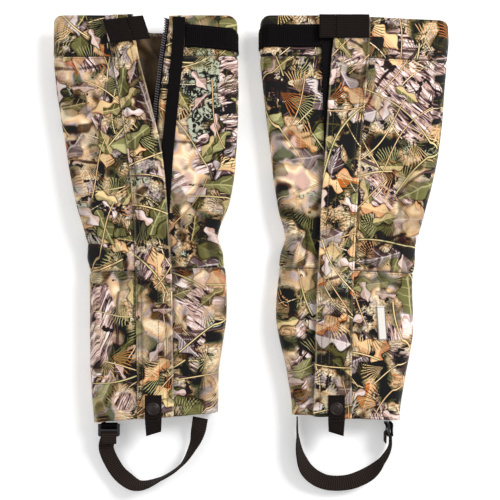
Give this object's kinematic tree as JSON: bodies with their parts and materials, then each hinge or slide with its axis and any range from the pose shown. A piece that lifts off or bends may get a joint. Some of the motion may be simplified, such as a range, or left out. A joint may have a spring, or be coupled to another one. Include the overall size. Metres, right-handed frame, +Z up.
{
  "type": "gaiters",
  "caption": "Pair of knee-high printed fabric gaiters laid flat, with front zip, storm flap, cuff closure tab, snap, lace hook and webbing stirrup strap.",
  "frame": {"origin": "centre of the pair's outline as it lies flat, on the ground", "axes": "+Y along the legs towards the cuffs, +Z up out of the fronts of the gaiters, +X from the left-hand gaiter to the right-hand one"},
  "size_m": [0.4374, 0.5302, 0.0345],
  "materials": {
    "camo_fabric": "printed brushed nylon with a woodland leaf, bark and twig pattern, matt",
    "lining_fabric": "dark brown coated taffeta",
    "black_webbing": "black ribbed nylon webbing",
    "hook_and_loop": "black hook-and-loop tape",
    "elastic": "black knitted elastic",
    "zip_tape": "dark grey herringbone zip tape",
    "zip_coil": "dark grey nylon coil",
    "dark_metal": "gunmetal plated",
    "black_plastic": "moulded black acetal",
    "label": "plain woven label"
  },
  "bodies": {
    "left_gaiter": {"left_lower_panel_outer": "camo_fabric", "left_lower_panel_inner": "camo_fabric", "left_upper_panel_outer": "camo_fabric", "left_upper_panel_inner": "camo_fabric", "left_cuff_band": "camo_fabric", "left_lining": "lining_fabric", "left_ankle_elastic": "elastic", "left_zip_tape_outer": "zip_tape", "left_zip_tape_inner": "zip_tape", "left_zip_coil_outer": "zip_coil", "left_zip_coil_inner": "zip_coil", "left_zip_bottom_stop": "dark_metal", "left_loop_strip": "hook_and_loop", "left_cuff_webbing": "black_webbing", "left_snap_stud": "dark_metal"},
    "left_flap": {"left_storm_flap": "camo_fabric", "left_flap_hook_strip": "hook_and_loop", "left_cuff_tab": "hook_and_loop", "left_snap_tab": "black_webbing", "left_snap_cap": "dark_metal", "left_snap_socket": "dark_metal"},
    "left_tab_end": {"left_cuff_tab_end": "hook_and_loop"},
    "left_slider": {"left_zip_slider": "dark_metal"},
    "left_pull": {"left_zip_pull": "dark_metal"},
    "left_hook_tab": {"left_hook_tab": "black_webbing", "left_lace_hook": "dark_metal"},
    "left_stirrup": {"left_stirrup_strap": "black_webbing", "left_ladder_lock": "black_plastic", "left_buckle_loop": "black_webbing"},
    "right_gaiter": {"right_lower_panel_outer": "camo_fabric", "right_lower_panel_inner": "camo_fabric", "right_upper_panel_outer": "camo_fabric", "right_upper_panel_inner": "camo_fabric", "right_cuff_band": "camo_fabric", "right_lining": "lining_fabric", "right_ankle_elastic": "elastic", "right_zip_tape_outer": "zip_tape", "right_zip_tape_inner": "zip_tape", "right_zip_coil_outer": "zip_coil", "right_zip_coil_inner": "zip_coil", "right_zip_bottom_stop": "dark_metal", "right_loop_strip": "hook_and_loop", "right_cuff_webbing": "black_webbing", "right_snap_stud": "dark_metal", "right_woven_label": "label"},
    "right_flap": {"right_storm_flap": "camo_fabric", "right_flap_hook_strip": "hook_and_loop", "right_cuff_tab": "hook_and_loop", "right_snap_tab": "black_webbing", "right_snap_cap": "dark_metal", "right_snap_socket": "dark_metal"},
    "right_tab_end": {"right_cuff_tab_end": "hook_and_loop"},
    "right_slider": {"right_zip_slider": "dark_metal"},
    "right_pull": {"right_zip_pull": "dark_metal"},
    "right_hook_tab": {"right_hook_tab": "black_webbing", "right_lace_hook": "dark_metal"},
    "right_stirrup": {"right_stirrup_strap": "black_webbing", "right_ladder_lock": "black_plastic", "right_buckle_loop": "black_webbing"}
  },
  "joints": [
    {"name": "left_flap_open", "type": "hinge", "parent": "left_gaiter", "child": "left_flap", "pos_m": [-0.1252, -0.18194, 0.0259], "axis": [0.0855, -0.9963, 0], "range_deg": [0, 120]},
    {"name": "left_tab_end_peel", "type": "hinge", "parent": "left_flap", "child": "left_tab_end", "pos_m": [-0.12855, 0.2322, 0.0315], "axis": [0.3156, -0.9489, 0], "range_deg": [0, 150]},
    {"name": "left_slider_run", "type": "slide", "parent": "left_gaiter", "child": "left_slider", "axis": [0, -1, 0], "range_m": [0, 0.16]},
    {"name": "left_pull_lift", "type": "hinge", "parent": "left_slider", "child": "left_pull", "pos_m": [-0.11319, 0.01846, 0.02625], "axis": [-1, 0, 0], "range_deg": [0, 60]},
    {"name": "left_hook_tab_swing", "type": "hinge", "parent": "left_flap", "child": "left_hook_tab", "pos_m": [-0.10699, -0.18264, 0.0312], "axis": [1, 0, 0], "range_deg": [-90, 15]},
    {"name": "left_stirrup_swing", "type": "hinge", "parent": "left_gaiter", "child": "left_stirrup", "pos_m": [-0.11319, -0.18744, 0.0152], "axis": [1, 0, 0], "range_deg": [-72, 30]},
    {"name": "right_gaiter_apart", "type": "slide", "parent": "left_gaiter", "child": "right_gaiter", "axis": [1, 0, 0], "range_m": [0, 0.3]},
    {"name": "right_flap_open", "type": "hinge", "parent": "right_gaiter", "child": "right_flap", "pos_m": [0.11081, -0.18194, 0.0259], "axis": [0.0474, 0.9989, 0], "range_deg": [0, 120]},
    {"name": "right_tab_end_peel", "type": "hinge", "parent": "right_flap", "child": "right_tab_end", "pos_m": [0.09271, 0.23506, 0.0315], "axis": [0, 1, 0], "range_deg": [0, 150]},
    {"name": "right_slider_run", "type": "slide", "parent": "right_gaiter", "child": "right_slider", "axis": [0, -1, 0], "range_m": [0, 0.33]},
    {"name": "right_pull_lift", "type": "hinge", "parent": "right_slider", "child": "right_pull", "pos_m": [0.09981, 0.24246, 0.02625], "axis": [-1, 0, 0], "range_deg": [0, 60]},
    {"name": "right_hook_tab_swing", "type": "hinge", "parent": "right_flap", "child": "right_hook_tab", "pos_m": [0.09361, -0.18264, 0.0312], "axis": [1, 0, 0], "range_deg": [-90, 15]},
    {"name": "right_stirrup_swing", "type": "hinge", "parent": "right_gaiter", "child": "right_stirrup", "pos_m": [0.09981, -0.18994, 0.012], "axis": [1, 0, 0], "range_deg": [-15, 15]}
  ],
  "couplings": [
    {"joint": "left_pull_lift", "follows": "left_flap_open", "ratio": 0.5},
    {"joint": "right_pull_lift", "follows": "right_flap_open", "ratio": 0.5}
  ]
}
